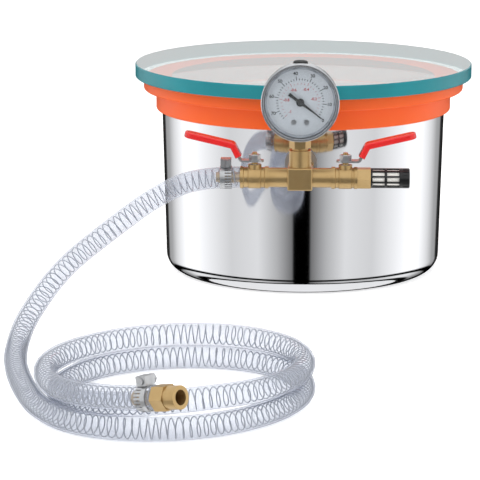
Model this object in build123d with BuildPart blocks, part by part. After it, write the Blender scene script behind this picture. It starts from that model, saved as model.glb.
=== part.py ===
"""Bench vacuum chamber: steel pot, glass lid, brass manifold, gauge, two ball valves and a pump hose."""
from build123d import *
import math
import os

os.makedirs("parts", exist_ok=True)

# ---- Driving dimensions, in millimetres; +Z is up, -Y is the front, the origin is under the pot's middle
wall = 1.0
pot_base_r = 122.9
pot_rim_r = 126.7
pot_height = 168.0
pot_corner_r = 14.0

gasket_bottom_z = 145.0
gasket_step_z = 163.0
gasket_top_z = 174.0
gasket_collar_r = 131.5
gasket_flange_r = 142.5
gasket_inner_r = 117.5
gasket_skirt_z = 152.0

lid_r = 150.0
lid_thickness = 12.0

row_y = -195.0
row_z = 117.0
bore_r = 4.0
thread_r = 6.6

block_width = 20.5
block_height = 18.5
block_depth = 20.5
side_arm_r = 8.1
side_socket_r = 5.6
side_arm_x = 25.8
top_arm_r = 9.1
top_arm_z = 140.0
back_arm_y = -164.0
arm_socket_depth = 9.0

seal_thickness = 2.5
washer_thickness = 1.5
washer_r = 13.75
bulkhead_hex = 19.0
bulkhead_hex_length = 11.0
locknut_length = 6.0

gauge_z = 180.9
gauge_front_y = -210.0
gauge_bezel_r = 32.0
gauge_case_r = 30.6
gauge_depth = 27.0
gauge_dial_r = 27.2
gauge_zero_angle = -36.7
case_wall = 1.2
bezel_length = 8.0
bezel_lip = 1.4
gauge_lens_r = 30.0
lens_thickness = 2.0
dial_depth = 6.6
dial_thickness = 0.8
dial_screw_r = 1.1
dial_screw_x = 5.2
dial_screw_drop = 16.5
movement_gap = 2.0
movement_thickness = 3.0
arbor_r = 0.9
pointer_lift = 1.5
pointer_thickness = 0.5
pointer_hub_r = 3.3
plug_r = 6.0
gauge_tube_r = 21.0
gauge_tube_width = 8.0
gauge_tube_thickness = 4.0
neck_r = 4.5
gauge_bore_r = 1.5
socket_hex_length = 6.8
tube_depth = 19.6

valve_x = 37.3
valve_body_r = 9.1
valve_ball_r = 6.0
valve_cavity_r = 6.3
valve_stem_r = 2.5
bonnet_r = 5.6
bonnet_top = 11.0
packing_r = 3.8
packing_height = 2.0
seat_gap = 3.3
tang_length = 3.6
tang_width = 1.6
tang_foot = 4.3
stem_top = 21.0
lever_nut_hex = 8.5
lever_nut_height = 4.6
lever_height = 14.0
lever_thickness = 1.6
lever_width = 10.0
lever_knee = (18.0, 27.0)
lever_end = (57.5, 36.2)
grip_width = 12.8
grip_rounding = 1.4
grip_thickness = 5.2
running_clearance = 0.05
air_gap = 0.3

muffler_start_x = 58.0
muffler_end_x = 90.0
muffler_r = 8.2
muffler_wall = 1.4

muffler_thread = 7.0
muffler_spigot_r = 5.0
element_bore_r = 4.0
window_pitch = 12.0
window_length = 10.0
window_width = 3.6
window_rows = 10
cap_length = 7.0
cap_grooves = 16

hose_r = 8.8
hose_bore_r = 5.25
hose_floor_gap = 0.2
coil_centre = (-87.0, -462.0)
coil_long_r = 104.0
coil_short_r = 92.0
coil_turn = 52.0
coil_first_swell = 6.0
coil_second_tuck = 14.0
coil_climb_start = 530.0
coil_climb_end = 650.0
clamp_band = 0.8
valve_clamp_x = 61.0
end_clamp_setback = 9.0
clamp_width = 9.5
worm_r = 2.6
worm_length = 10.0
screw_head = 6.5
band_slots = 24
barb_length = 20.0
fitting_length = 20.5
fitting_hex = 17.0
fitting_hex_length = 11.0
fitting_mouth_r = 8.2
mouth_bore_r = 5.3
mouth_depth = 12.0

# ---- Values worked out from them
pot_slope = (pot_rim_r - pot_base_r) / pot_height
port_wall_r = pot_base_r + pot_slope * row_z
washer_face_y = -(port_wall_r + seal_thickness)
hex_face_y = washer_face_y - washer_thickness
nipple_start_y = hex_face_y - 6.0
inner_seal_y = -(port_wall_r - wall - seal_thickness)
locknut_y = inner_seal_y + washer_thickness
arm_spigot_length = arm_socket_depth - 1.0
valve_left_end = 49.2
valve_right_end = 47.1
hose_low_z = hose_r + hose_floor_gap
hose_high_z = hose_low_z + 2 * hose_r + air_gap

row_origin = (0, row_y, row_z)
gauge_side = Plane(origin=(0, gauge_front_y, gauge_z), x_dir=(0, 1, 0), z_dir=(1, 0, 0))
movement_depth = dial_depth + dial_thickness + movement_gap


def save(piece, name):
    """Label a finished piece and write it to its own file."""
    piece.label = name
    export_step(piece, f"parts/{name}.step")


def facing_front(y):
    """A plane across the row's front-to-back axis, facing the front."""
    return Plane(origin=(0, y, row_z), x_dir=(1, 0, 0), z_dir=(0, -1, 0))


def facing_up(z):
    """A plane across the gauge's upright stem, facing up."""
    return Plane(origin=(0, row_y, z), x_dir=(1, 0, 0), z_dir=(0, 0, 1))


def facing_side(x):
    """A plane across the row's long axis, facing +X."""
    return Plane(origin=(x, row_y, row_z), x_dir=(0, 1, 0), z_dir=(1, 0, 0))


def ring(outer_r, inner_r):
    """A flat ring in the current sketch."""
    Circle(outer_r)
    Circle(inner_r, mode=Mode.SUBTRACT)


def outline(points):
    """A straight-sided face through the given corners, in the current sketch."""
    Polygon(*points, align=None)


def hexagon(across_flats):
    """A hexagon in the current sketch, given as a spanner size."""
    RegularPolygon(radius=across_flats / math.sqrt(3), side_count=6)


# ---- Pot: one drawn shell with a drafted wall and one hole at the front for the bulkhead
with BuildPart() as pot:
    with BuildSketch(Plane.XZ):
        with BuildLine():
            outer = FilletPolyline((0, 0), (pot_base_r, 0), (pot_rim_r, pot_height), radius=pot_corner_r)
            inner = FilletPolyline(
                (0, wall),
                (pot_base_r - wall + pot_slope * wall, wall),
                (pot_rim_r - wall, pot_height),
                radius=pot_corner_r - wall,
            )
            Line(outer @ 0, inner @ 0)
            Line(outer @ 1, inner @ 1)
        make_face()
    revolve(axis=Axis.Z)
    with BuildSketch(Plane.XZ.offset(port_wall_r - 10)):
        with Locations((0, row_z)):
            Circle(thread_r)
    extrude(amount=20, mode=Mode.SUBTRACT)
save(pot.part, "pot")

# ---- Silicone ring: a collar over the rim, a flange for the lid and a skirt inside the wall
wall_at_collar = pot_base_r + pot_slope * gasket_bottom_z
wall_at_skirt = pot_base_r + pot_slope * gasket_skirt_z
with BuildPart() as gasket_ring:
    with BuildSketch(Plane.XZ):
        outline([
            (wall_at_collar, gasket_bottom_z),
            (gasket_collar_r, gasket_bottom_z),
            (gasket_collar_r, gasket_step_z),
            (gasket_flange_r, gasket_step_z),
            (gasket_flange_r, gasket_top_z),
            (gasket_inner_r, gasket_top_z),
            (gasket_inner_r + 2, gasket_skirt_z),
            (wall_at_skirt - wall, gasket_skirt_z),
            (pot_rim_r - wall, pot_height),
            (pot_rim_r, pot_height),
        ])
    revolve(axis=Axis.Z)
    soft_edges = gasket_ring.edges().filter_by(
        lambda edge: edge.geom_type == GeomType.CIRCLE and edge.radius in (gasket_collar_r, gasket_flange_r)
    )
    fillet(soft_edges, radius=1.2)
save(gasket_ring.part, "gasket_ring")

# ---- Lid: a plain disc of tempered glass with ground arrises
with BuildPart() as lid_glass:
    with BuildSketch(Plane.XY.offset(gasket_top_z)):
        Circle(lid_r)
    extrude(amount=lid_thickness)
    chamfer(lid_glass.edges().filter_by(GeomType.CIRCLE), length=0.8)
save(lid_glass.part, "lid_glass")

# ---- Seals on both sides of the wall, cut to its curve, and the steel washers on them
wall_low_r = pot_base_r + pot_slope * (row_z - 20)
wall_high_r = pot_base_r + pot_slope * (row_z + 20)
with BuildPart() as outer_seal:
    with BuildSketch(facing_front(washer_face_y)):
        ring(washer_r - 1, thread_r)
    extrude(amount=-seal_thickness - 4)
    with BuildSketch(Plane.XZ):
        outline([(0, row_z - 20), (wall_low_r, row_z - 20), (wall_high_r, row_z + 20), (0, row_z + 20)])
    revolve(axis=Axis.Z, mode=Mode.SUBTRACT)
save(outer_seal.part, "outer_seal")

with BuildPart() as outer_washer:
    with BuildSketch(facing_front(washer_face_y)):
        ring(washer_r, thread_r)
    extrude(amount=washer_thickness)
save(outer_washer.part, "outer_washer")

with BuildPart() as inner_seal:
    with BuildSketch(facing_front(inner_seal_y)):
        ring(washer_r - 1, thread_r)
    extrude(amount=seal_thickness + 4)
    with BuildSketch(Plane.XZ):
        outline([
            (wall_low_r - wall, row_z - 20),
            (wall_low_r + 20, row_z - 20),
            (wall_high_r + 20, row_z + 20),
            (wall_high_r - wall, row_z + 20),
        ])
    revolve(axis=Axis.Z, mode=Mode.SUBTRACT)
save(inner_seal.part, "inner_seal")

with BuildPart() as inner_washer:
    with BuildSketch(facing_front(locknut_y)):
        ring(washer_r, thread_r)
    extrude(amount=washer_thickness)
save(inner_washer.part, "inner_washer")

with BuildPart() as inner_locknut:
    with BuildSketch(facing_front(locknut_y + locknut_length)):
        hexagon(bulkhead_hex)
        Circle(thread_r, mode=Mode.SUBTRACT)
    extrude(amount=locknut_length)
save(inner_locknut.part, "inner_locknut")

# ---- Bulkhead fitting: a threaded tube through the wall with a hexagon outside
bulkhead_tail_y = locknut_y + locknut_length + 2
with BuildPart() as bulkhead_body:
    with BuildSketch(facing_front(bulkhead_tail_y)):
        ring(thread_r, bore_r)
    extrude(amount=bulkhead_tail_y - nipple_start_y)
    with BuildSketch(facing_front(hex_face_y)):
        hexagon(bulkhead_hex)
        Circle(thread_r, mode=Mode.SUBTRACT)
    extrude(amount=bulkhead_hex_length)
save(bulkhead_body.part, "bulkhead_body")

# ---- Nipple between the bulkhead and the manifold, with a hexagon in its middle
nipple_end_y = back_arm_y - arm_spigot_length
nipple_hex_length = 8.0
nipple_hex_y = (hex_face_y - bulkhead_hex_length + back_arm_y + nipple_hex_length) / 2
with BuildPart() as nipple:
    with BuildSketch(facing_front(nipple_start_y)):
        ring(thread_r, bore_r)
    extrude(amount=nipple_start_y - nipple_end_y)
    with BuildSketch(facing_front(nipple_hex_y)):
        hexagon(bulkhead_hex - 3)
        Circle(bore_r, mode=Mode.SUBTRACT)
    extrude(amount=nipple_hex_length)
save(nipple.part, "nipple")

# ---- Manifold: a square brass block with four round arms, each with a socket, bored through to the middle
with BuildPart() as manifold_body:
    with Locations(row_origin):
        Box(block_width, block_depth, block_height)
    fillet(manifold_body.edges(), radius=1.2)
    with BuildSketch(facing_side(-side_arm_x)):
        Circle(side_arm_r)
    extrude(amount=2 * side_arm_x)
    with BuildSketch(facing_up(row_z)):
        Circle(top_arm_r)
    extrude(amount=top_arm_z - row_z)
    with BuildSketch(facing_front(back_arm_y)):
        Circle(top_arm_r)
    extrude(amount=back_arm_y - row_y)
    with BuildSketch(facing_side(-side_arm_x)):
        Circle(bore_r)
    extrude(amount=2 * side_arm_x, mode=Mode.SUBTRACT)
    with BuildSketch(facing_up(row_z)):
        Circle(bore_r)
    extrude(amount=top_arm_z - row_z, mode=Mode.SUBTRACT)
    with BuildSketch(facing_front(back_arm_y)):
        Circle(bore_r)
    extrude(amount=back_arm_y - row_y, mode=Mode.SUBTRACT)
    with BuildSketch(facing_side(-side_arm_x), facing_side(side_arm_x - arm_socket_depth)):
        Circle(side_socket_r)
    extrude(amount=arm_socket_depth, mode=Mode.SUBTRACT)
    with BuildSketch(facing_up(top_arm_z - arm_socket_depth)):
        Circle(thread_r)
    extrude(amount=arm_socket_depth, mode=Mode.SUBTRACT)
    with BuildSketch(facing_front(back_arm_y)):
        Circle(thread_r)
    extrude(amount=arm_socket_depth, mode=Mode.SUBTRACT)
save(manifold_body.part, "manifold_body")

# ---- The two ball valves, the same inside; x runs outwards from each stem and y runs up
spigot_x = side_arm_x - arm_spigot_length - valve_x
inner_x = side_arm_x - valve_x
seat_x = 6.9
seat_cone = (valve_ball_r + running_clearance) * math.sqrt(2)
lever_path = [(-7.5, lever_height), (11.5, lever_height), lever_knee, (lever_end[0] - 1.5, lever_end[1] - 0.35)]
grip_path = [(13.2, lever_height + 3.4), lever_knee, lever_end]
for side, name, outer_x in ((-1, "left", valve_left_end - valve_x), (1, "right", valve_right_end - valve_x)):
    stem_foot = (side * valve_x, row_y, row_z)
    side_view = Plane(origin=stem_foot, x_dir=(side, 0, 0), z_dir=(0, -side, 0))
    top_view = Plane(origin=stem_foot, x_dir=(side, 0, 0), z_dir=(0, 0, 1))
    end_view = Plane(origin=stem_foot, x_dir=(0, side, 0), z_dir=(side, 0, 0))
    pipe_axis = Axis(stem_foot, (side, 0, 0))

    with BuildPart() as valve_body:
        with BuildSketch(side_view):
            outline([
                (spigot_x, 0),
                (spigot_x, side_socket_r),
                (inner_x, side_socket_r),
                (inner_x, valve_body_r),
                (inner_x + 3, valve_body_r),
                (inner_x + 3.6, valve_body_r - 0.6),
                (-5.5, valve_body_r - 0.6),
                (-5, valve_body_r),
                (5, valve_body_r),
                (5.5, valve_body_r - 0.6),
                (outer_x - 3.1, valve_body_r - 0.6),
                (outer_x - 2.5, valve_body_r),
                (outer_x, valve_body_r),
                (outer_x, 0),
            ])
        revolve(axis=pipe_axis)
        with BuildSketch(top_view):
            Circle(bonnet_r)
        extrude(amount=bonnet_top)
        if side > 0:
            with BuildSketch(end_view.offset(outer_x)):
                hexagon(16)
            extrude(amount=muffler_start_x - valve_right_end)
        else:
            with BuildSketch(side_view):
                outline([
                    (outer_x, 0),
                    (outer_x, hose_bore_r - 0.9),
                    (outer_x + 4, hose_bore_r - 0.9),
                    (outer_x + 4, hose_bore_r),
                    (outer_x + 9, hose_bore_r - 0.9),
                    (outer_x + 9, hose_bore_r),
                    (outer_x + 14, hose_bore_r - 0.9),
                    (outer_x + 14, hose_bore_r),
                    (outer_x + 20, hose_bore_r - 1.2),
                    (outer_x + 20, 0),
                ])
            revolve(axis=pipe_axis)
        with BuildSketch(end_view.offset(-20)):
            Circle(bore_r - 0.5)
        extrude(amount=60, mode=Mode.SUBTRACT)
        with BuildSketch(end_view.offset(-seat_x)):
            Circle(valve_cavity_r)
        extrude(amount=2 * seat_x, mode=Mode.SUBTRACT)
        with BuildSketch(top_view):
            Circle(valve_stem_r + running_clearance)
        extrude(amount=bonnet_top, mode=Mode.SUBTRACT)
        with BuildSketch(top_view.offset(valve_body_r)):
            Circle(packing_r)
        extrude(amount=bonnet_top - valve_body_r, mode=Mode.SUBTRACT)
        if side > 0:
            with BuildSketch(end_view.offset(muffler_start_x - valve_x - muffler_thread)):
                Circle(muffler_spigot_r)
            extrude(amount=muffler_thread, mode=Mode.SUBTRACT)
    save(valve_body.part, f"{name}_valve_body")

    with BuildPart() as seats:
        for end in (-1, 1):
            with BuildSketch(side_view):
                outline([
                    (end * seat_x, bore_r - 0.5),
                    (end * seat_x, valve_cavity_r),
                    (end * seat_gap, valve_cavity_r),
                    (end * seat_gap, seat_cone - seat_gap),
                    (end * (seat_cone - bore_r + 0.5), bore_r - 0.5),
                ])
            revolve(axis=pipe_axis)
    save(seats.part, f"{name}_seats")

    with BuildPart() as ball:
        with Locations(stem_foot):
            Sphere(valve_ball_r)
        with BuildSketch(end_view.offset(-valve_ball_r)):
            Circle(bore_r - 0.5)
        extrude(amount=2 * valve_ball_r, mode=Mode.SUBTRACT)
        with BuildSketch(top_view.offset(tang_foot)):
            Rectangle(tang_length, tang_width)
        extrude(amount=valve_ball_r, mode=Mode.SUBTRACT)
    save(ball.part, f"{name}_ball")

    with BuildPart() as stem:
        with BuildSketch(top_view.offset(tang_foot)):
            Rectangle(tang_length, tang_width)
        extrude(amount=valve_cavity_r - tang_foot)
        with BuildSketch(top_view.offset(valve_cavity_r - 0.1)):
            Circle(valve_stem_r)
        extrude(amount=lever_height - lever_thickness / 2 - valve_cavity_r + 0.1)
        with BuildSketch(top_view.offset(lever_height - lever_thickness / 2)):
            Circle(valve_stem_r - 0.5)
        extrude(amount=stem_top - lever_height + lever_thickness / 2)
    save(stem.part, f"{name}_stem")

    with BuildPart() as packing:
        with BuildSketch(top_view.offset(valve_body_r)):
            ring(packing_r, valve_stem_r + running_clearance)
        extrude(amount=packing_height)
    save(packing.part, f"{name}_packing")

    with BuildPart() as lever:
        with BuildSketch(side_view):
            with BuildLine():
                FilletPolyline(*lever_path, radius=3)
            trace(line_width=lever_thickness)
        extrude(amount=lever_width / 2, both=True)
        inner_end = lever.faces().sort_by(Axis(stem_foot, (side, 0, 0)))[0]
        fillet(inner_end.edges().filter_by(Axis.Z), radius=lever_width / 2 - 0.2)
        with BuildSketch(top_view.offset(lever_height - lever_thickness)):
            Circle(valve_stem_r - 0.5)
        extrude(amount=2 * lever_thickness, mode=Mode.SUBTRACT)
    save(lever.part, f"{name}_lever")

    with BuildPart() as grip:
        with BuildSketch(side_view):
            with BuildLine():
                FilletPolyline(*grip_path, radius=3)
            trace(line_width=grip_thickness)
        extrude(amount=grip_width / 2, both=True)
        outer_end = grip.faces().sort_by(Axis(stem_foot, (side, 0, 0)))[-1]
        fillet(outer_end.edges().filter_by(Axis.Y, reverse=True), radius=grip_width / 2 - 1)
        fillet(grip.edges().filter_by(Axis.Y, reverse=True), radius=grip_rounding)
        add(lever.part, mode=Mode.SUBTRACT)
    save(grip.part, f"{name}_grip")

    with BuildPart() as lever_nut:
        with BuildSketch(top_view.offset(lever_height + lever_thickness / 2)):
            hexagon(lever_nut_hex)
            Circle(valve_stem_r - 0.5, mode=Mode.SUBTRACT)
        extrude(amount=lever_nut_height)
        chamfer(lever_nut.faces().sort_by(Axis.Z)[-1].edges().filter_by(GeomType.LINE), length=0.5)
    save(lever_nut.part, f"{name}_lever_nut")

# ---- Muffler on the right valve: a slotted plastic cage, a porous element inside it and a ribbed cap
cage_end_x = muffler_end_x - cap_length
with BuildPart() as muffler_cage:
    with BuildSketch(facing_side(muffler_start_x - muffler_thread)):
        ring(muffler_spigot_r, element_bore_r)
    extrude(amount=muffler_thread + muffler_wall)
    with BuildSketch(facing_side(muffler_start_x)):
        ring(muffler_r, element_bore_r)
    extrude(amount=muffler_wall)
    with BuildSketch(facing_side(muffler_start_x)):
        ring(muffler_r, muffler_r - muffler_wall)
    extrude(amount=cage_end_x - muffler_start_x)
    for column in range(2):
        window_x = muffler_start_x + muffler_wall + column * window_pitch
        with Locations(facing_side(window_x).location):
            with PolarLocations(muffler_r, window_rows):
                Box(
                    4 * muffler_wall,
                    window_width,
                    window_length,
                    align=(Align.CENTER, Align.CENTER, Align.MIN),
                    mode=Mode.SUBTRACT,
                )
save(muffler_cage.part, "muffler_cage")

with BuildPart() as muffler_element:
    with BuildSketch(facing_side(muffler_start_x + muffler_wall)):
        ring(muffler_r - muffler_wall, element_bore_r)
    extrude(amount=cage_end_x - muffler_start_x - muffler_wall)
save(muffler_element.part, "muffler_element")

with BuildPart() as muffler_cap:
    with BuildSketch(facing_side(cage_end_x)):
        Circle(muffler_r)
    extrude(amount=cap_length)
    chamfer(muffler_cap.faces().sort_by(Axis.X)[-1].edges(), length=0.8)
    with Locations(facing_side(cage_end_x + 1.5).location):
        with PolarLocations(muffler_r, cap_grooves):
            Box(1, 1.2, cap_length, align=(Align.CENTER, Align.CENTER, Align.MIN), mode=Mode.SUBTRACT)
save(muffler_cap.part, "muffler_cap")

# ---- Gauge: x runs back from the front of the bezel and y is the radius, turned about the gauge's axis
gauge_axis = Axis(gauge_side.origin, (0, 1, 0))


def dial_plane(depth):
    """A plane across the gauge's axis, at a depth behind the bezel's front, facing the front."""
    return Plane(origin=(0, gauge_front_y + depth, gauge_z), x_dir=(1, 0, 0), z_dir=(0, -1, 0))


with BuildPart() as gauge_case:
    with BuildSketch(gauge_side):
        outline([
            (bezel_lip + lens_thickness, gauge_case_r - case_wall),
            (bezel_lip + lens_thickness, gauge_case_r),
            (gauge_depth - 3, gauge_case_r),
            (gauge_depth, gauge_case_r - 3),
            (gauge_depth, 0),
            (gauge_depth - case_wall, 0),
            (gauge_depth - case_wall, gauge_case_r - 4),
            (gauge_depth - 4, gauge_case_r - case_wall),
        ])
    revolve(axis=gauge_axis)
    with BuildSketch(facing_up(gauge_z)):
        Circle(neck_r)
    extrude(amount=-gauge_case_r - 5, mode=Mode.SUBTRACT)
    with BuildSketch(facing_up(gauge_z)):
        Circle(plug_r - 1)
    extrude(amount=gauge_case_r + 5, mode=Mode.SUBTRACT)
save(gauge_case.part, "gauge_case")

with BuildPart() as gauge_bezel:
    with BuildSketch(gauge_side):
        outline([
            (0.6, gauge_lens_r - 0.4),
            (0, gauge_lens_r),
            (0, gauge_bezel_r - 0.6),
            (0.6, gauge_bezel_r),
            (bezel_length, gauge_bezel_r),
            (bezel_length, gauge_case_r),
            (bezel_lip, gauge_case_r),
            (bezel_lip, gauge_lens_r - 0.4),
        ])
    revolve(axis=gauge_axis)
save(gauge_bezel.part, "gauge_bezel")

with BuildPart() as gauge_lens:
    with BuildSketch(dial_plane(bezel_lip + lens_thickness)):
        Circle(gauge_lens_r)
    extrude(amount=lens_thickness)
save(gauge_lens.part, "gauge_lens")

with BuildPart() as gauge_lens_seal:
    with BuildSketch(dial_plane(bezel_lip + lens_thickness)):
        ring(gauge_case_r, gauge_lens_r)
    extrude(amount=lens_thickness)
save(gauge_lens_seal.part, "gauge_lens_seal")

with BuildPart() as gauge_inner_ring:
    with BuildSketch(gauge_side):
        outline([
            (bezel_lip + lens_thickness, gauge_case_r - case_wall),
            (bezel_lip + lens_thickness, gauge_lens_r - 1.2),
            (dial_depth - 0.8, gauge_dial_r),
            (dial_depth, gauge_dial_r),
            (dial_depth, gauge_case_r - case_wall),
        ])
    revolve(axis=gauge_axis)
save(gauge_inner_ring.part, "gauge_inner_ring")

with BuildPart() as gauge_dial:
    with BuildSketch(dial_plane(dial_depth + dial_thickness)):
        ring(gauge_case_r - case_wall, arbor_r + running_clearance)
        with Locations((-dial_screw_x, -dial_screw_drop), (dial_screw_x, -dial_screw_drop)):
            Circle(dial_screw_r, mode=Mode.SUBTRACT)
    extrude(amount=dial_thickness)
save(gauge_dial.part, "gauge_dial")

with BuildPart() as gauge_dial_screws:
    with BuildSketch(dial_plane(dial_depth)):
        with Locations((-dial_screw_x, -dial_screw_drop), (dial_screw_x, -dial_screw_drop)):
            Circle(2 * dial_screw_r)
    extrude(amount=0.8)
    with BuildSketch(dial_plane(dial_depth)):
        with Locations((-dial_screw_x, -dial_screw_drop), (dial_screw_x, -dial_screw_drop)):
            Circle(dial_screw_r)
    extrude(amount=-dial_thickness - movement_gap)
    with BuildSketch(dial_plane(dial_depth - 0.4)):
        with Locations((-dial_screw_x, -dial_screw_drop), (dial_screw_x, -dial_screw_drop)):
            Rectangle(4 * dial_screw_r, 0.5)
    extrude(amount=1, mode=Mode.SUBTRACT)
save(gauge_dial_screws.part, "gauge_dial_screws")

with BuildPart() as gauge_movement:
    with BuildSketch(dial_plane(movement_depth + movement_thickness)):
        Rectangle(26, 12)
        with Locations((0, -dial_screw_drop / 2)):
            Rectangle(2 * dial_screw_x + 5, dial_screw_drop + 4)
        Circle(arbor_r + running_clearance, mode=Mode.SUBTRACT)
    extrude(amount=movement_thickness)
save(gauge_movement.part, "gauge_movement")

with BuildPart() as gauge_arbor:
    with BuildSketch(dial_plane(movement_depth + movement_thickness + 1)):
        Circle(arbor_r)
    extrude(amount=movement_depth + movement_thickness + 1 - dial_depth + pointer_lift)
save(gauge_arbor.part, "gauge_arbor")

with BuildPart() as gauge_pointer:
    with BuildSketch(dial_plane(dial_depth - pointer_lift)):
        with Locations(Rotation(0, 0, gauge_zero_angle)):
            Polygon(
                (-11.5, -1.6), (-6, -1.2), (0, -1.3), (12, -0.7), (24, -0.1),
                (24, 0.1), (12, 0.7), (0, 1.3), (-6, 1.2), (-11.5, 1.6),
                align=None,
            )
    extrude(amount=pointer_thickness)
    with BuildSketch(dial_plane(dial_depth - pointer_lift)):
        Circle(pointer_hub_r)
    extrude(amount=1.2)
save(gauge_pointer.part, "gauge_pointer")

with BuildPart() as gauge_plug:
    with BuildSketch(facing_up(gauge_z)):
        Circle(plug_r)
    extrude(amount=gauge_bezel_r + 1)
    fillet(gauge_plug.faces().sort_by(Axis.Z)[-1].edges(), radius=1.6)
    with BuildSketch(gauge_side):
        Rectangle(2 * gauge_depth, gauge_case_r, align=(Align.MIN, Align.MIN))
    revolve(axis=gauge_axis, mode=Mode.SUBTRACT)
    with BuildSketch(facing_up(gauge_z + gauge_case_r - 3)):
        Circle(plug_r - 1)
    extrude(amount=3.2)
save(gauge_plug.part, "gauge_plug")

socket_hex_z = top_arm_z + 2
neck_top_z = gauge_z - gauge_tube_r - gauge_tube_thickness / 2
with BuildPart() as gauge_socket:
    with BuildSketch(facing_up(top_arm_z - arm_spigot_length)):
        Circle(thread_r)
    extrude(amount=socket_hex_z - top_arm_z + arm_spigot_length)
    with BuildSketch(facing_up(socket_hex_z)):
        hexagon(15.3)
    extrude(amount=socket_hex_length)
    with BuildSketch(facing_up(socket_hex_z)):
        Circle(neck_r)
    extrude(amount=neck_top_z - socket_hex_z)
    with BuildSketch(facing_up(top_arm_z - arm_spigot_length)):
        Circle(gauge_bore_r)
    extrude(amount=neck_top_z - 2 - top_arm_z + arm_spigot_length, mode=Mode.SUBTRACT)
save(gauge_socket.part, "gauge_socket")

with BuildPart() as gauge_tube:
    tube_root = (0, gauge_front_y + tube_depth, gauge_z - gauge_tube_r)
    with BuildSketch(Plane(origin=tube_root, x_dir=(0, 1, 0), z_dir=(1, 0, 0))):
        Ellipse(gauge_tube_width / 2, gauge_tube_thickness / 2)
    revolve(axis=gauge_axis, revolution_arc=250)
save(gauge_tube.part, "gauge_tube")

# ---- Hose: its route is straight runs and tangent arcs from the left valve to the pump fitting
lead_points = [
    (-valve_left_end - 0.4, row_y, row_z),
    (-84, row_y, row_z),
    (-119, -194, 100.5),
    (-155, -206, 75),
    (-193, -236, 48.5),
    (-216, -282, 19.5),
    (-219, -326, hose_low_z),
    (-214, -385, hose_low_z),
    (-203, -440, hose_low_z),
]
tail_points = [
    (-178, -500, 26.8),
    (-158, -542, 29),
    (-121, -568, 32),
    (-90.3, -591, 39.3),
]
coil_points = []
for step in range(24):
    angle = 200 + 30 * step
    lean = max(0, math.cos(math.radians(angle - 225)))
    spread = coil_first_swell * lean if angle < 315 else 0
    spread = -coil_second_tuck * lean if 480 < angle < 675 else spread
    local = math.radians(angle - coil_turn)
    along = (coil_long_r + spread) * math.cos(local)
    across = (coil_short_r + spread) * math.sin(local)
    cosine = math.cos(math.radians(coil_turn))
    sine = math.sin(math.radians(coil_turn))
    rise = min(1, max(0, (angle - coil_climb_start) / (coil_climb_end - coil_climb_start)))
    coil_points.append((
        coil_centre[0] + along * cosine - across * sine,
        coil_centre[1] + along * sine + across * cosine,
        hose_low_z + rise * (hose_high_z - hose_low_z),
    ))
route = [Vector(*point) for point in lead_points + coil_points + tail_points]
bend_radii = []
route_length = (route[1] - route[0]).length
for before, corner, after in zip(route, route[1:], route[2:]):
    first_run = corner - before
    next_run = after - corner
    turn = math.radians(first_run.get_angle(next_run))
    reach = 0.45 * min(first_run.length, next_run.length)
    radius = reach / math.tan(turn / 2)
    bend_radii.append(radius)
    route_length += next_run.length - 2 * reach + radius * turn
print("bend radii", [round(radius) for radius in bend_radii])
print("hose length", round(route_length))

with BuildPart() as hose:
    with BuildLine() as hose_line:
        FilletPolyline(*route, radius=bend_radii)
    with BuildSketch(Plane(origin=route[0], z_dir=route[1] - route[0])):
        ring(hose_r, hose_bore_r)
    sweep(path=hose_line.line)
print("hose volume", round(hose.part.volume), "section times length",
      round(math.pi * (hose_r ** 2 - hose_bore_r ** 2) * route_length))
save(hose.part, "hose")

# ---- Worm clamps on both ends of the hose: the band, the screw housing on it and the screw
hose_end = route[-1]
end_direction = (route[-1] - route[-2]).normalized()
valve_clamp_centre = Vector(-valve_clamp_x, row_y, row_z)
end_clamp_centre = hose_end - end_direction * end_clamp_setback
for name, centre, direction in (
    ("valve_clamp", valve_clamp_centre, Vector(-1, 0, 0)),
    ("end_clamp", end_clamp_centre, end_direction),
):
    across_hose = Vector(0, 0, 1).cross(direction)
    clamp_end = Plane(origin=centre - direction * clamp_width / 2, x_dir=across_hose, z_dir=direction)
    screw_end = Plane(
        origin=centre + clamp_end.y_dir * (hose_r + clamp_band + worm_r + 0.2) - clamp_end.x_dir * worm_length / 2,
        x_dir=direction,
        z_dir=clamp_end.x_dir,
    )
    with BuildPart() as band:
        with BuildSketch(clamp_end):
            ring(hose_r + clamp_band, hose_r)
        extrude(amount=clamp_width)
        with Locations(clamp_end.location):
            with PolarLocations(hose_r, band_slots):
                Box(3, 1, clamp_width - 4, mode=Mode.SUBTRACT, align=(Align.CENTER, Align.CENTER, Align.MIN))
    save(band.part, f"{name}_band")

    with BuildPart() as housing:
        with BuildSketch(screw_end):
            Rectangle(clamp_width - 1, 2 * worm_r + 1.6)
            Circle(worm_r + 0.1, mode=Mode.SUBTRACT)
        extrude(amount=worm_length)
        with BuildSketch(clamp_end.offset(-2)):
            Circle(hose_r + clamp_band)
        extrude(amount=clamp_width + 4, mode=Mode.SUBTRACT)
    save(housing.part, f"{name}_housing")

    with BuildPart() as screw:
        with BuildSketch(screw_end.offset(-1)):
            Circle(worm_r)
        extrude(amount=worm_length + 1)
        with BuildSketch(screw_end.offset(worm_length)):
            hexagon(screw_head)
        extrude(amount=3)
        with BuildSketch(screw_end.offset(worm_length + 1.8)):
            Rectangle(1.2, 2 * screw_head)
        extrude(amount=3, mode=Mode.SUBTRACT)
    save(screw.part, f"{name}_screw")

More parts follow.
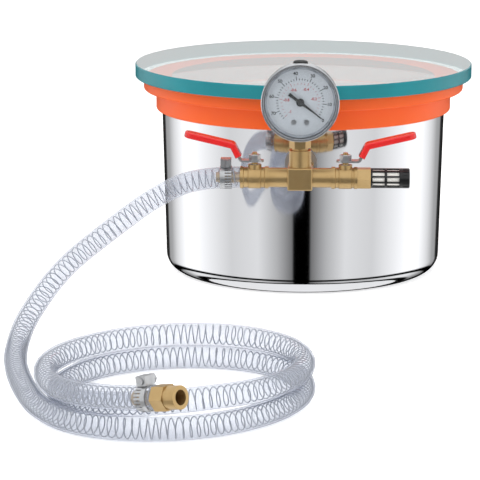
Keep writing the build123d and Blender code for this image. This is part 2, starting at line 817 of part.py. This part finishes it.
# ---- Pump fitting: barb in the hose, hexagon and a mouth with a female thread
fitting_foot = Plane(origin=hose_end - end_direction * barb_length, z_dir=end_direction)
with BuildPart() as pump_fitting:
    with BuildSketch(fitting_foot):
        Circle(hose_bore_r)
    extrude(amount=barb_length)
    with BuildSketch(fitting_foot.offset(barb_length)):
        hexagon(fitting_hex)
    extrude(amount=fitting_hex_length)
    with BuildSketch(fitting_foot.offset(barb_length)):
        Circle(fitting_mouth_r)
    extrude(amount=fitting_length)
    with BuildSketch(fitting_foot):
        Circle(bore_r - 0.5)
    extrude(amount=barb_length + fitting_length, mode=Mode.SUBTRACT)
    with BuildSketch(fitting_foot.offset(barb_length + fitting_length - mouth_depth)):
        Circle(mouth_bore_r)
    extrude(amount=mouth_depth, mode=Mode.SUBTRACT)
save(pump_fitting.part, "pump_fitting")
print("fitting mouth", hose_end + end_direction * fitting_length, "axis", end_direction)
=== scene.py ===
"""Studio picture of the bench vacuum chamber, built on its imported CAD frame."""

import math

import bmesh
import bpy
from mathutils import Matrix, Vector


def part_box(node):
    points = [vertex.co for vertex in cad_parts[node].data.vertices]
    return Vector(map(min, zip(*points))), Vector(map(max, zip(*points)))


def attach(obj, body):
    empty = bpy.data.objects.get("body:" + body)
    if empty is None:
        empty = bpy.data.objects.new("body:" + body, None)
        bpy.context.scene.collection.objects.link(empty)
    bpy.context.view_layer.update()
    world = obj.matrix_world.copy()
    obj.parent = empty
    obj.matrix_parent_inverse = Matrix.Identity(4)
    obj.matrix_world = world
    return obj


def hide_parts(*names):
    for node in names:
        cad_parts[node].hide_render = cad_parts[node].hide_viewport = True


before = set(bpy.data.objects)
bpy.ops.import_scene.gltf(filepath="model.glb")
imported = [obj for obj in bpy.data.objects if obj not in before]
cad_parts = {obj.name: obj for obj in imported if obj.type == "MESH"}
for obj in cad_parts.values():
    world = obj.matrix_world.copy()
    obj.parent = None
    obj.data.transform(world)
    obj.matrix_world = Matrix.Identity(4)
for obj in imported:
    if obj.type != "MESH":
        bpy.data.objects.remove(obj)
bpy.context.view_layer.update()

# ---- Stage: a white floor, soft area lights and a round light tent that only reflections see. The tent is
# dark behind the camera and behind the pot, which draws the black stripe and side lines on the steel.
MM = 0.001


def linear(hex_colour):
    """An sRGB hex colour as linear RGBA."""
    channels = [int(hex_colour[i:i + 2], 16) / 255 for i in (1, 3, 5)]
    return [c / 12.92 if c <= 0.04045 else ((c + 0.055) / 1.055) ** 2.4 for c in channels] + [1.0]


def add_node(tree, kind, inputs=None, **settings):
    """A new shader node with its settings and its unlinked input values."""
    node = tree.nodes.new("ShaderNode" + kind)
    for key, value in settings.items():
        setattr(node, key, value)
    for key, value in (inputs or {}).items():
        node.inputs[key].default_value = value
    return node


def new_material(name):
    """A named node material with an empty Principled shader: (material, tree, shader, output)."""
    material = bpy.data.materials.new(name)
    material.use_nodes = True
    tree = material.node_tree
    tree.nodes.clear()
    output = add_node(tree, "OutputMaterial")
    shader = add_node(tree, "BsdfPrincipled")
    tree.links.new(shader.outputs[0], output.inputs["Surface"])
    return material, tree, shader, output


def link_all(tree, pairs):
    """Joins each output to its input."""
    for start, end in pairs:
        tree.links.new(start, end)


def fill_ramp(node, stops):
    """Gives a colour ramp its grey levels, from black at its start: stops are (place, level)."""
    ramp = node.color_ramp
    ramp.elements.remove(ramp.elements[1])
    ramp.elements[0].color = (0, 0, 0, 1)
    for place, level in stops:
        stop = ramp.elements.new(place)
        stop.color = (level, level, level, 1)


def finish_mesh(shape, name, material, sharp_degrees=35):
    """Turns a bmesh into a smooth-shaded object with sharp edges where it folds."""
    bmesh.ops.recalc_face_normals(shape, faces=shape.faces)
    for face in shape.faces:
        face.smooth = True
    for edge in shape.edges:
        edge.smooth = edge.calc_face_angle(0) < math.radians(sharp_degrees)
    mesh = bpy.data.meshes.new(name)
    shape.to_mesh(mesh)
    shape.free()
    mesh.materials.append(material)
    made = bpy.data.objects.new(name, mesh)
    bpy.context.scene.collection.objects.link(made)
    return made


def around(angle, distance, height):
    """A place round the pot: the angle is 0 towards the camera and grows to the right, in degrees."""
    turn = math.radians(angle)
    return (distance * math.sin(turn), -distance * math.cos(turn), height)


floor_reach = 6
shape = bmesh.new()
bmesh.ops.create_grid(shape, x_segments=1, y_segments=1, size=floor_reach)
floor_paint, tree, shader, output = new_material("white_floor_paint")
shader.inputs["Base Color"].default_value = (0.93, 0.93, 0.93, 1)
shader.inputs["Roughness"].default_value = 0.9
shader.inputs["Specular IOR Level"].default_value = 0.0
shader.inputs["Emission Color"].default_value = (1, 1, 1, 1)
shader.inputs["Emission Strength"].default_value = 0.45
floor = finish_mesh(shape, "studio_floor", floor_paint)
floor.visible_glossy = False

tent_radius = 2.7
tent_low = -2.85
tent_high = 0.45
tent_height = tent_high - tent_low
tent_paint, tree, shader, output = new_material("light_tent_paint")
tree.nodes.remove(shader)
place = add_node(tree, "TexCoord")
parts = add_node(tree, "SeparateXYZ")
behind = add_node(tree, "Math", {1: -1.0}, operation="MULTIPLY")
turn = add_node(tree, "Math", operation="ARCTAN2")
either_side = add_node(tree, "Math", operation="ABSOLUTE")
half_turns = add_node(tree, "Math", {1: math.pi}, operation="DIVIDE")
tones = add_node(tree, "ValToRGB")
low_to_high = add_node(tree, "MapRange", {"From Min": tent_low, "From Max": tent_high})
bands = add_node(tree, "ValToRGB")
both = add_node(tree, "Mix", {0: 1.0}, data_type="RGBA", blend_type="MULTIPLY")
glow = add_node(tree, "Emission", {"Strength": 1.35})
link_all(tree, (
    (place.outputs["Object"], parts.inputs[0]),
    (parts.outputs["X"], turn.inputs[0]),
    (parts.outputs["Y"], behind.inputs[0]),
    (behind.outputs[0], turn.inputs[1]),
    (turn.outputs[0], either_side.inputs[0]),
    (either_side.outputs[0], half_turns.inputs[0]),
    (half_turns.outputs[0], tones.inputs[0]),
    (tones.outputs[0], both.inputs[6]),
    (parts.outputs["Z"], low_to_high.inputs["Value"]),
    (low_to_high.outputs["Result"], bands.inputs[0]),
    (bands.outputs[0], both.inputs[7]),
    (both.outputs[2], glow.inputs["Color"]),
    (glow.outputs[0], output.inputs["Surface"]),
))
tones_round_the_pot = (
    (6.5, 0.0), (7.5, 0.15), (20, 0.42), (36, 0.68), (60, 0.6), (82, 0.82), (98, 1.0), (112, 1.0),
    (128, 0.66), (140, 0.34), (149, 0.28), (152, 0.02), (180, 0.0),
)
fill_ramp(tones, [(degrees / 180, level) for degrees, level in tones_round_the_pot])
tones_by_height = (
    (-2.3, 0.0), (-2.1, 0.75), (-1.5, 0.75), (-1.38, 0.0), (-1.05, 0.0), (-0.9, 1.0), (tent_high, 1.0),
)
fill_ramp(bands, [((height - tent_low) / tent_height, level) for height, level in tones_by_height])
shape = bmesh.new()
bmesh.ops.create_cone(
    shape, cap_ends=False, segments=96, radius1=tent_radius, radius2=tent_radius, depth=tent_height,
    matrix=Matrix.Translation((0, 0, (tent_low + tent_high) / 2)),
)
tent = finish_mesh(shape, "light_tent", tent_paint)
tent.visible_camera = False
tent.visible_diffuse = False
tent.visible_shadow = False
tent.visible_transmission = False

for name, angle, distance, height, size, power in (
    ("key_light", -38, 2.4, 2.2, 1.6, 30),
    ("fill_light", 48, 2.6, 1.9, 1.8, 20),
    ("top_light", 0, 0.3, 3.0, 2.6, 42),
):
    lamp = bpy.data.lights.new(name, "AREA")
    lamp.shape = "SQUARE"
    lamp.size = size
    lamp.energy = power
    lamp_object = bpy.data.objects.new(name, lamp)
    lamp_object.location = around(angle, distance, height)
    lamp_object.rotation_euler = Vector(lamp_object.location).to_track_quat("Z", "Y").to_euler()
    lamp_object.visible_glossy = False
    bpy.context.scene.collection.objects.link(lamp_object)

world = bpy.data.worlds.new("white_studio")
bpy.context.scene.world = world
world.use_nodes = True
tree = world.node_tree
tree.nodes.clear()
output = add_node(tree, "OutputWorld")
seen = add_node(tree, "Background", {"Color": (1, 1, 1, 1), "Strength": 1.0})
lit = add_node(tree, "Background", {"Color": (1, 1, 1, 1), "Strength": 0.5})
rays = add_node(tree, "LightPath")
mix = add_node(tree, "MixShader")
either = add_node(tree, "Math", operation="MAXIMUM")
link_all(tree, (
    (rays.outputs["Is Camera Ray"], either.inputs[0]),
    (rays.outputs["Is Glossy Ray"], either.inputs[1]),
    (either.outputs[0], mix.inputs[0]),
    (lit.outputs[0], mix.inputs[1]),
    (seen.outputs[0], mix.inputs[2]),
    (mix.outputs[0], output.inputs["Surface"]),
))

orbit = 0.011
camera_distance = 2.2
camera_height = 0.4919
camera_dip = 0.2101
camera_turn = 0.0257
camera = bpy.data.cameras.new("camera")
camera.lens = 185.8
camera.sensor_width = 36
camera.clip_end = 50
camera_object = bpy.data.objects.new("camera", camera)
camera_object.location = around(math.degrees(orbit), camera_distance, camera_height)
camera_object.rotation_euler = (math.pi / 2 - camera_dip, 0, camera_turn + orbit)
bpy.context.scene.collection.objects.link(camera_object)
bpy.context.scene.camera = camera_object
bpy.context.scene.view_settings.view_transform = "Standard"

# ---- Hose: clear soft PVC with a steel spiral moulded in its wall. The tube is a bevelled NURBS curve and
# the spiral is a thin wire wound round the line of that same curve.
hose_diameter = 17.6 * MM
lead_points = [
    (-49.6, -195, 117),
    (-84, -195, 117),
    (-119, -194, 100.5),
    (-155, -206, 75),
    (-193, -236, 48.5),
    (-216, -282, 19.5),
    (-219, -326, 9),
    (-214, -385, 9),
    (-203, -440, 9),
]
tail_points = [
    (-178, -500, 26.8),
    (-158, -542, 29),
    (-121, -568, 32),
    (-90.3, -591, 39.3),
]
coil_middle = (-87, -462)
coil_long_r = 104
coil_short_r = 92
coil_turn = math.radians(52)
coil_low = 9
coil_rise = 17.9
coil_points = []
for step in range(24):
    angle = 200 + 30 * step
    lean = max(0, math.cos(math.radians(angle - 225)))
    spread = 6 * lean if angle < 315 else 0
    spread = -14 * lean if 480 < angle < 675 else spread
    local = math.radians(angle) - coil_turn
    along = (coil_long_r + spread) * math.cos(local)
    across = (coil_short_r + spread) * math.sin(local)
    rise = min(1, max(0, (angle - 530) / 120))
    coil_points.append((
        coil_middle[0] + along * math.cos(coil_turn) - across * math.sin(coil_turn),
        coil_middle[1] + along * math.sin(coil_turn) + across * math.cos(coil_turn),
        coil_low + rise * coil_rise,
    ))
route = [Vector(point) * MM for point in lead_points + coil_points + tail_points]


def nurbs_line(name, points):
    """An open smooth NURBS curve through the route's control points."""
    curve = bpy.data.curves.new(name, "CURVE")
    curve.dimensions = "3D"
    curve.resolution_u = 12
    spline = curve.splines.new("NURBS")
    spline.points.add(len(points) - 1)
    for target, point in zip(spline.points, points):
        target.co = (*point, 1)
    spline.order_u = 3
    spline.use_endpoint_u = True
    return curve


def centreline(curve):
    """The evaluated points of a curve that has no bevel yet."""
    holder = bpy.data.objects.new("line_holder", curve)
    bpy.context.scene.collection.objects.link(holder)
    bpy.context.view_layer.update()
    mesh = bpy.data.meshes.new_from_object(holder)
    points = [vertex.co.copy() for vertex in mesh.vertices]
    bpy.data.objects.remove(holder)
    bpy.data.meshes.remove(mesh)
    return points


def clear_plastic(name, tint, edge_tint, haze):
    """See-through plastic: a light milky haze that thickens a little towards the edges."""
    material, tree, shader, output = new_material(name)
    shader.inputs["Base Color"].default_value = linear(edge_tint)
    shader.inputs["Roughness"].default_value = 0.12
    clear = add_node(tree, "BsdfTransparent", {"Color": linear(tint)})
    edge = add_node(tree, "LayerWeight", {"Blend": 0.35})
    ramp = add_node(tree, "MapRange", {"To Min": haze, "To Max": 0.47})
    mix = add_node(tree, "MixShader")
    link_all(tree, (
        (edge.outputs["Facing"], ramp.inputs["Value"]),
        (ramp.outputs["Result"], mix.inputs[0]),
        (clear.outputs[0], mix.inputs[1]),
        (shader.outputs[0], mix.inputs[2]),
        (mix.outputs[0], output.inputs["Surface"]),
    ))
    return material


pvc = clear_plastic("clear_soft_pvc", "#EEF0F4", "#D6D9E1", 0.19)
hose_curve = nurbs_line("pump_hose", route)
hose_line = centreline(hose_curve)
hose_curve.bevel_depth = hose_diameter / 2
hose_curve.bevel_resolution = 6
hose_curve.materials.append(pvc)
hose = bpy.data.objects.new("pump_hose", hose_curve)
bpy.context.scene.collection.objects.link(hose)

spiral_pitch = 5.5 * MM
spiral_radius = 7.2 * MM
spiral_steps_per_turn = 14
wire_thickness = 0.9 * MM


def wound_wire(line, pitch, radius, steps_per_turn):
    """Points of a helix round a line: it turns once for each pitch travelled."""
    points = []
    side = Vector((0, 0, 1))
    travelled = 0.0
    phase_step = math.tau / steps_per_turn
    next_at = 0.0
    phase = 0.0
    for start, end in zip(line, line[1:]):
        run = end - start
        direction = run.normalized()
        side = (side - direction * side.dot(direction)).normalized()
        other = direction.cross(side)
        while next_at <= travelled + run.length:
            place = start + direction * (next_at - travelled)
            points.append(place + radius * (math.cos(phase) * side + math.sin(phase) * other))
            phase += phase_step
            next_at += pitch / steps_per_turn
        travelled += run.length
    return points


def wire_curve(name, points, radius, material):
    """A thin round wire through the given points."""
    curve = bpy.data.curves.new(name, "CURVE")
    curve.dimensions = "3D"
    spline = curve.splines.new("POLY")
    spline.points.add(len(points) - 1)
    for target, point in zip(spline.points, points):
        target.co = (*point, 1)
    curve.bevel_depth = radius
    curve.bevel_resolution = 1
    curve.materials.append(material)
    made = bpy.data.objects.new(name, curve)
    bpy.context.scene.collection.objects.link(made)
    return made


def noise_tones(tree, shader, light, dark, scale, detail):
    """Colours a shader between two tones by a noise on Object coordinates: gives the place and the noise."""
    place = add_node(tree, "TexCoord")
    noise = add_node(tree, "TexNoise", {"Scale": scale, "Detail": detail})
    tone = add_node(tree, "Mix", data_type="RGBA")
    tone.inputs[6].default_value = linear(light)
    tone.inputs[7].default_value = linear(dark)
    link_all(tree, (
        (place.outputs["Object"], noise.inputs["Vector"]),
        (noise.outputs["Fac"], tone.inputs[0]),
        (tone.outputs[2], shader.inputs["Base Color"]),
    ))
    return place, noise


def worked_metal(name, light, dark, rough, grain_mm, depth_mm=0.02, metallic=1.0):
    """Bare metal: two close tones and a changing polish from noise, with fine tool marks as bump."""
    material, tree, shader, output = new_material(name)
    place, noise = noise_tones(tree, shader, light, dark, 1 / (grain_mm * MM), 4.0)
    polish = add_node(tree, "MapRange", {"To Min": rough * 0.8, "To Max": rough * 1.3})
    marks = add_node(tree, "TexNoise", {"Scale": 4 / (grain_mm * MM), "Detail": 2.0})
    bump = add_node(tree, "Bump", {"Strength": 0.15, "Distance": depth_mm * MM})
    link_all(tree, (
        (place.outputs["Object"], marks.inputs["Vector"]),
        (noise.outputs["Fac"], polish.inputs["Value"]),
        (marks.outputs["Fac"], bump.inputs["Height"]),
        (polish.outputs["Result"], shader.inputs["Roughness"]),
        (bump.outputs[0], shader.inputs["Normal"]),
    ))
    shader.inputs["Metallic"].default_value = metallic
    return material


spring_steel = worked_metal("spring_steel_wire", "#C6CAD3", "#A9AEBA", 0.4, 3)
spiral_points = wound_wire(hose_line, spiral_pitch, spiral_radius, spiral_steps_per_turn)
spiral = wire_curve("hose_spiral", spiral_points, wire_thickness / 2, spring_steel)
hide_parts("hose")
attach(hose, "chamber")
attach(spiral, "chamber")

# ---- Pot: drawn stainless steel, turned from one thin section with a round corner. The outside is polished
# to a mirror with the faintest ripple, and the inside is a lighter satin.
pot_top_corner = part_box("pot")[1]
pot_rim_r = pot_top_corner[0]
pot_height = pot_top_corner[2]
pot_base_r = 122.9 * MM
pot_wall = 1 * MM
pot_corner_r = 14 * MM


def turned(name, section, material, steps, sharp_degrees=35):
    """A closed section (radius, height) spun once round +Z."""
    shape = bmesh.new()
    corners = [shape.verts.new((radius, 0, height)) for radius, height in section]
    edges = [shape.edges.new(pair) for pair in zip(corners, corners[1:] + corners[:1])]
    bmesh.ops.spin(
        shape, geom=corners + edges, cent=(0, 0, 0), axis=(0, 0, 1), angle=math.tau, steps=steps,
        use_merge=True,
    )
    bmesh.ops.remove_doubles(shape, verts=shape.verts, dist=1e-6)
    bmesh.ops.dissolve_degenerate(shape, edges=shape.edges, dist=1e-7)
    return finish_mesh(shape, name, material, sharp_degrees)


def rounded(centre, radius, start, end, steps=10):
    """Points of an arc in the section plane, angles in degrees."""
    angles = [math.radians(start + (end - start) * step / steps) for step in range(steps + 1)]
    return [(centre[0] + radius * math.cos(a), centre[1] + radius * math.sin(a)) for a in angles]


mirror_steel, tree, shader, output = new_material("mirror_polished_steel")
place = add_node(tree, "TexCoord")
ripple = add_node(tree, "TexNoise", {"Scale": 9.0, "Detail": 1.0})
bump = add_node(tree, "Bump", {"Strength": 0.05, "Distance": 0.3 * MM})
polish = add_node(tree, "MapRange", {"To Min": 0.05, "To Max": 0.08})
link_all(tree, (
    (place.outputs["Object"], ripple.inputs["Vector"]),
    (ripple.outputs["Fac"], bump.inputs["Height"]),
    (ripple.outputs["Fac"], polish.inputs["Value"]),
    (polish.outputs["Result"], shader.inputs["Roughness"]),
    (bump.outputs[0], shader.inputs["Normal"]),
))
shader.inputs["Base Color"].default_value = linear("#E4E5E8")
shader.inputs["Metallic"].default_value = 1.0

corner_centre = (pot_base_r - pot_corner_r, pot_corner_r)
pot_section = [(0, 0)] + rounded(corner_centre, pot_corner_r, -90, 0)
pot_section += [(pot_rim_r, pot_height), (pot_rim_r - pot_wall, pot_height)]
pot_section += rounded(corner_centre, pot_corner_r - pot_wall, 0, -90)
pot_section += [(0, pot_wall)]
inner_steel = worked_metal("satin_inner_steel", "#E8E9EC", "#D8DADD", 0.36, 6, metallic=0.55)
pot = turned("polished_pot", pot_section, mirror_steel, steps=256)
pot.data.materials.append(inner_steel)
for face in pot.data.polygons:
    outward = face.center.x * face.normal.x + face.center.y * face.normal.y
    face.material_index = 1 if outward < 0 or face.normal.z > 0.9 else 0
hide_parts("pot")
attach(pot, "chamber")

# ---- Silicone ring: one orange moulding that caps the rim, with a flange under the lid and a soft collar.
# The look is a smooth, slightly waxy orange with a broad soft shine.
ring_low, ring_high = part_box("gasket_ring")
ring_bottom, ring_top = ring_low[2], ring_high[2]
flange_r = ring_high[0]
collar_r = 131.5 * MM
flange_bottom = 163 * MM
ring_inner_r = 117.5 * MM
skirt_bottom = 152 * MM
rim_gap = 0.1 * MM
skirt_draft = 2 * MM

silicone, tree, shader, output = new_material("orange_silicone")
noise_tones(tree, shader, "#F0621C", "#E75916", 14.0, 2.0)
shader.inputs["Roughness"].default_value = 0.38
shader.inputs["Specular IOR Level"].default_value = 0.3
shader.inputs["Subsurface Weight"].default_value = 0.15
shader.inputs["Subsurface Radius"].default_value = (4 * MM, 1.5 * MM, 0.8 * MM)

edge_r = 1.6 * MM
fillet_r = 1.2 * MM
collar_squeeze = 0.4 * MM
skirt_clearance = 0.6 * MM
ring_section = [(pot_rim_r - collar_squeeze, ring_bottom)]
ring_section += rounded((collar_r - edge_r, ring_bottom + edge_r), edge_r, -90, 0, 5)
ring_section += [(collar_r, flange_bottom - fillet_r), (collar_r + 0.5 * MM, flange_bottom)]
ring_section += rounded((flange_r - edge_r, flange_bottom + edge_r), edge_r, -90, 0, 5)
ring_section += rounded((flange_r - edge_r, ring_top - edge_r), edge_r, 0, 90, 5)
ring_section += [(ring_inner_r, ring_top), (ring_inner_r + skirt_draft, skirt_bottom)]
ring_section += [
    (pot_rim_r - pot_wall - skirt_clearance, skirt_bottom),
    (pot_rim_r - pot_wall - skirt_clearance / 3, pot_height),
    (pot_rim_r, pot_height + rim_gap),
]
gasket = turned("silicone_ring", ring_section, silicone, steps=192)
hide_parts("gasket_ring")
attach(gasket, "chamber")

# ---- Lid: a clear tempered glass disc. Its faces are clear with a strong slanting reflection, and its ground
# edge is blue-green, the colour of the long way through the glass.
lid_low, lid_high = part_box("lid_glass")
lid_r = lid_high[0]
arris = 0.8 * MM
lid_face, tree, shader, output = new_material("tempered_glass_face")
tree.nodes.remove(shader)
place = add_node(tree, "TexCoord")
wave = add_node(tree, "TexNoise", {"Scale": 6.0, "Detail": 0.0})
bump = add_node(tree, "Bump", {"Strength": 0.02, "Distance": 0.2 * MM})
through = add_node(tree, "BsdfTransparent", {"Color": linear("#F4FBFB")})
shine = add_node(tree, "BsdfGlossy", {"Color": (1, 1, 1, 1), "Roughness": 0.02})
slant = add_node(tree, "LayerWeight", {"Blend": 0.5})
share = add_node(tree, "MapRange", {"To Min": 0.06, "To Max": 0.62})
mix = add_node(tree, "MixShader")
link_all(tree, (
    (place.outputs["Object"], wave.inputs["Vector"]),
    (wave.outputs["Fac"], bump.inputs["Height"]),
    (bump.outputs[0], shine.inputs["Normal"]),
    (slant.outputs["Facing"], share.inputs["Value"]),
    (share.outputs["Result"], mix.inputs[0]),
    (through.outputs[0], mix.inputs[1]),
    (shine.outputs[0], mix.inputs[2]),
    (mix.outputs[0], output.inputs["Surface"]),
))

lid_edge, tree, shader, output = new_material("tempered_glass_ground_edge")
noise_tones(tree, shader, "#0A8A93", "#06727B", 30.0, 3.0)
shader.inputs["Roughness"].default_value = 0.3
shader.inputs["Specular IOR Level"].default_value = 0.3
shader.inputs["Coat Weight"].default_value = 0.15
shader.inputs["Coat Roughness"].default_value = 0.1
lid_section = [
    (0, lid_low[2]),
    (lid_r - arris, lid_low[2]),
    (lid_r, lid_low[2] + arris),
    (lid_r, lid_high[2] - arris),
    (lid_r - arris, lid_high[2]),
    (0, lid_high[2]),
]
lid = turned("glass_lid", lid_section, lid_face, steps=256, sharp_degrees=20)
lid.data.materials.append(lid_edge)
for face in lid.data.polygons:
    face.material_index = 1 if abs(face.normal.z) < 0.9 else 0
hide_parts("lid_glass")
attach(lid, "chamber")

# ---- Brass fittings: manifold, bulkhead, nipple, gauge socket, valve bodies and the pump fitting, turned or
# forged and left bare. Two close brass tones and a satin polish give the look.


def dress(material, *names):
    """Gives CAD nodes one material in place of their own."""
    for name in names:
        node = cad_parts[name]
        node.data.materials.clear()
        node.data.materials.append(material)


dress(
    worked_metal("satin_brass", "#CDB07F", "#B3935F", 0.3, 14, depth_mm=0.01, metallic=0.8),
    "manifold_body", "bulkhead_body", "nipple", "gauge_socket", "inner_locknut", "left_valve_body",
    "right_valve_body", "left_stem", "right_stem", "gauge_movement", "gauge_tube", "pump_fitting",
)

# ---- Steel small parts: washers, clamps, levers, nuts and valve balls in plated or plain stainless steel.
# They keep their CAD shapes, with two close tones and a soft polish.
dress(
    worked_metal("stainless_steel", "#CFD0D2", "#B2B4B7", 0.3, 4, metallic=0.85),
    "outer_washer", "inner_washer", "valve_clamp_band", "valve_clamp_housing", "valve_clamp_screw",
    "end_clamp_band", "end_clamp_housing", "end_clamp_screw", "left_lever", "right_lever", "left_lever_nut",
    "right_lever_nut", "gauge_dial_screws", "gauge_arbor", "left_ball", "right_ball",
)

# ---- Plastic and rubber: red dipped vinyl grips, the black muffler with its white core, seals and packings.
# Each is moulded, so it has two close tones, a fine skin as bump, and a coat where it shines.


def moulded(name, light, dark, rough, grain_mm, coat=0.0):
    """Moulded plastic or rubber: two close tones and a fine skin texture."""
    material, tree, shader, output = new_material(name)
    noise = noise_tones(tree, shader, light, dark, 1 / (grain_mm * MM), 3.0)[1]
    bump = add_node(tree, "Bump", {"Strength": 0.1, "Distance": 0.05 * MM})
    tree.links.new(noise.outputs["Fac"], bump.inputs["Height"])
    tree.links.new(bump.outputs[0], shader.inputs["Normal"])
    shader.inputs["Roughness"].default_value = rough
    shader.inputs["Coat Weight"].default_value = coat
    return material


dress(moulded("dipped_red_vinyl", "#D81E1E", "#CC1616", 0.25, 5, coat=0.4), "left_grip", "right_grip")
dress(moulded("black_muffler_plastic", "#17181A", "#101113", 0.35, 3), "muffler_cage", "muffler_cap")
dress(
    moulded("sintered_white_core", "#EDEBE6", "#DDDBD5", 0.8, 1),
    "muffler_element", "left_seats", "right_seats", "left_packing", "right_packing",
)
dress(
    moulded("black_rubber", "#1B1B1C", "#121213", 0.6, 2),
    "outer_seal", "inner_seal", "gauge_lens_seal", "gauge_plug",
)

# ---- Gauge: plated case and bezel, a clear lens, a light grey dial with black and red scales and a black
# pointer. The scales are thin raised marks laid on the dial.
dress(
    worked_metal("bright_plated_steel", "#CFD1D5", "#BCBEC3", 0.22, 8, depth_mm=0.005, metallic=0.85),
    "gauge_case", "gauge_bezel", "gauge_inner_ring",
)
dress(moulded("light_grey_dial_enamel", "#C9CDD1", "#C1C5C9", 0.5, 4), "gauge_dial")
dress(moulded("black_pointer_paint", "#121214", "#0B0B0D", 0.45, 3), "gauge_pointer")
dress(clear_plastic("clear_acrylic_lens", "#FAFBFC", "#E6EAEC", 0.03), "gauge_lens")

dial_low, dial_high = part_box("gauge_dial")
dial_middle = Vector(((dial_low[0] + dial_high[0]) / 2, dial_low[1], (dial_low[2] + dial_high[2]) / 2))
scale_start = -38.9
scale_sweep = 262.9
mark_thickness = 0.1 * MM


def dial_place(radius, degrees):
    """A place on the dial's face, by radius and angle from the right, seen from the front."""
    turn = math.radians(degrees)
    return dial_middle + Vector((radius * math.cos(turn), 0, radius * math.sin(turn)))


def scale_marks(name, material, count, inner, short, long, width):
    """A ring of raised marks: each is a thin bar that points at the dial's middle, every fifth a long one."""
    shape = bmesh.new()
    for step in range(count + 1):
        degrees = scale_start + scale_sweep * step / count
        length = long if step % 5 == 0 else short
        place = Matrix.Translation(dial_place(inner + length / 2, degrees))
        place @= Matrix.Rotation(-math.radians(degrees), 4, "Y")
        place @= Matrix.Diagonal((length, mark_thickness, width, 1))
        bmesh.ops.create_cube(shape, size=1, matrix=place)
    marks = finish_mesh(shape, name, material)
    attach(marks, "chamber")


def scale_numbers(name, material, texts, radius, size):
    """Plain numbers laid on the dial, made from the built-in letters."""
    made = bmesh.new()
    for text, degrees in texts:
        letters = bpy.data.curves.new("letters", "FONT")
        letters.body = text
        letters.size = size
        letters.align_x = "CENTER"
        letters.align_y = "CENTER"
        letters.extrude = mark_thickness / 2
        letters.offset = 0.1 * MM
        holder = bpy.data.objects.new("letters", letters)
        bpy.context.scene.collection.objects.link(holder)
        bpy.context.view_layer.update()
        mesh = bpy.data.meshes.new_from_object(holder)
        upright = Matrix.Rotation(math.pi / 2, 4, "X")
        mesh.transform(Matrix.Translation(dial_place(radius, degrees)) @ upright)
        made.from_mesh(mesh)
        bpy.data.objects.remove(holder)
        bpy.data.meshes.remove(mesh)
        bpy.data.curves.remove(letters)
    numbers = finish_mesh(made, name, material)
    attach(numbers, "chamber")


black_ink = moulded("black_dial_ink", "#26262A", "#1E1E22", 0.6, 2)
red_ink = moulded("red_dial_ink", "#B4373C", "#A93036", 0.6, 2)
outer_full_scale = 76
outer_mark_step = 2
outer_count = outer_full_scale // outer_mark_step
scale_marks("outer_scale", black_ink, outer_count, 18 * MM, 1.6 * MM, 3.6 * MM, 0.55 * MM)
scale_marks("inner_scale", red_ink, 25, 14.6 * MM, 1.2 * MM, 2.6 * MM, 0.34 * MM)
outer_numbers = [
    (str(value), scale_start + scale_sweep * value / outer_full_scale) for value in range(0, 80, 10)
]
inner_numbers = [(f"-0.{2 * step}", scale_start + scale_sweep * step / 5) for step in range(1, 5)]
inner_numbers.append(("-1", scale_start + scale_sweep))
scale_numbers("outer_numbers", black_ink, outer_numbers, 23.8 * MM, 3.8 * MM)
scale_numbers("inner_numbers", red_ink, inner_numbers, 11.4 * MM, 3.2 * MM)
